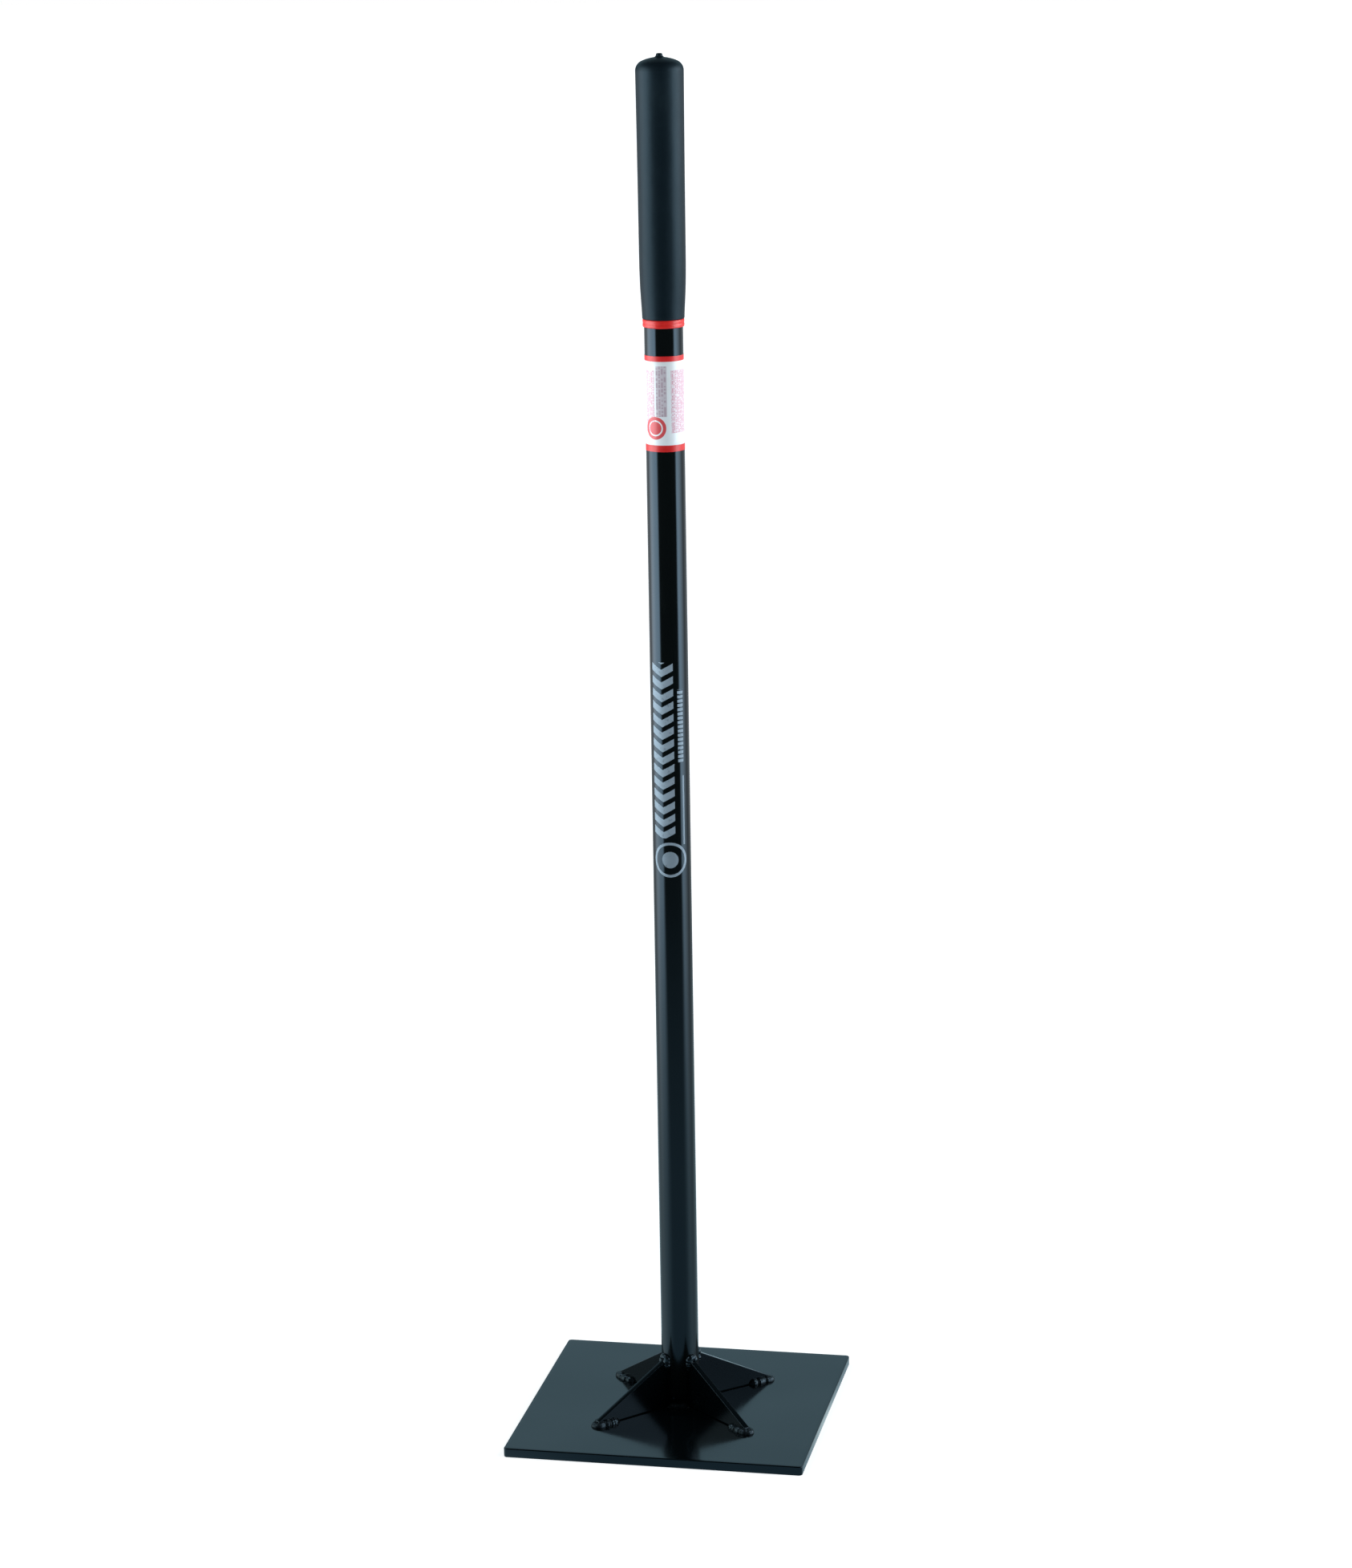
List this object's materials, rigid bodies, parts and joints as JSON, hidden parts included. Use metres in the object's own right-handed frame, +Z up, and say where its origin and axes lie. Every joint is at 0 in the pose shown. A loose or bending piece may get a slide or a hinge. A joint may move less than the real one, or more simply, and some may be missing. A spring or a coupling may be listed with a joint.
{
  "type": "hand tamper",
  "caption": "Hand tamper: square steel plate with a welded tubular shaft, diagonal gussets and a domed slip-on grip, for compacting soil and gravel by hand.",
  "frame": {"origin": "centre of the square plate's underside, on the shaft's axis", "axes": "+Z up along the shaft to the grip; X and Y parallel to the plate's sides, -Y the side that the label's printed face is turned to"},
  "size_m": [0.254, 0.254, 1.1543],
  "materials": {
    "black_powder_coat": "satin black coat with a faint blue cast, dusty and rubbed at the edges",
    "black_gloss_tube": "glossy black paint on drawn tube",
    "painted_weld": "rippled weld bead under gloss black paint",
    "grip_vinyl": "soft matte moulded black grip",
    "red_collar": "semi-gloss red",
    "label_film": "white printed film, satin",
    "label_red": "red printed film, satin"
  },
  "bodies": {
    "root": {"base_plate": "black_powder_coat", "collar_ring": "red_collar", "foot_weld_back": "painted_weld", "foot_weld_front": "painted_weld", "foot_weld_left": "painted_weld", "foot_weld_right": "painted_weld", "gusset_back_left": "black_powder_coat", "gusset_back_right": "black_powder_coat", "gusset_front_left": "black_powder_coat", "gusset_front_right": "black_powder_coat", "hand_grip": "grip_vinyl", "handle_tube": "black_gloss_tube", "label_band_lower": "label_red", "label_band_upper": "label_red", "label_wrap": "label_film", "tip_weld_back_left": "painted_weld", "tip_weld_back_right": "painted_weld", "tip_weld_front_left": "painted_weld", "tip_weld_front_right": "painted_weld", "top_weld_back_left": "painted_weld", "top_weld_back_right": "painted_weld", "top_weld_front_left": "painted_weld", "top_weld_front_right": "painted_weld"}
  },
  "joints": []
}
